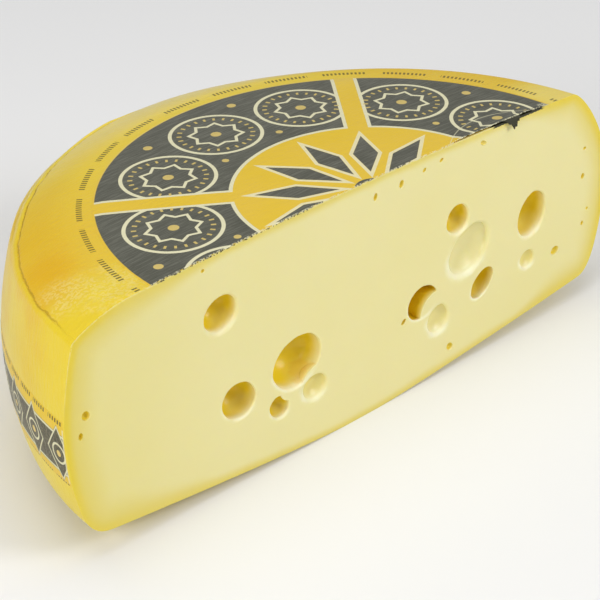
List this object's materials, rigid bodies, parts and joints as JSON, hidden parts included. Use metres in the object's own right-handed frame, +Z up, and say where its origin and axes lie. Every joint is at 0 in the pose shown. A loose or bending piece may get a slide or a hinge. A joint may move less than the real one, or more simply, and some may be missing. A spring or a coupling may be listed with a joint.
{
  "type": "half cheese wheel",
  "caption": "Half a wheel of pale round-eyed cheese in yellow film, with a printed top and rim, resting on its domed belly.",
  "frame": {"origin": "under the middle of the bounding box, on the surface that the piece rests on", "axes": "+X along the cut face to the right as seen from in front of it, +Y from the cut face towards the rounded back, +Z up"},
  "size_m": [0.3296, 0.1552, 0.1172],
  "materials": {
    "cheese": "pale yellow paste on the cut face, deeper satin yellow film on the rind",
    "top_print": "satin film printed in charcoal, cream and yellow",
    "rim_print": "satin film printed in charcoal, cream and yellow"
  },
  "bodies": {
    "root": {"cheese": "cheese", "top_print": "top_print", "rim_print": "rim_print"}
  },
  "joints": []
}
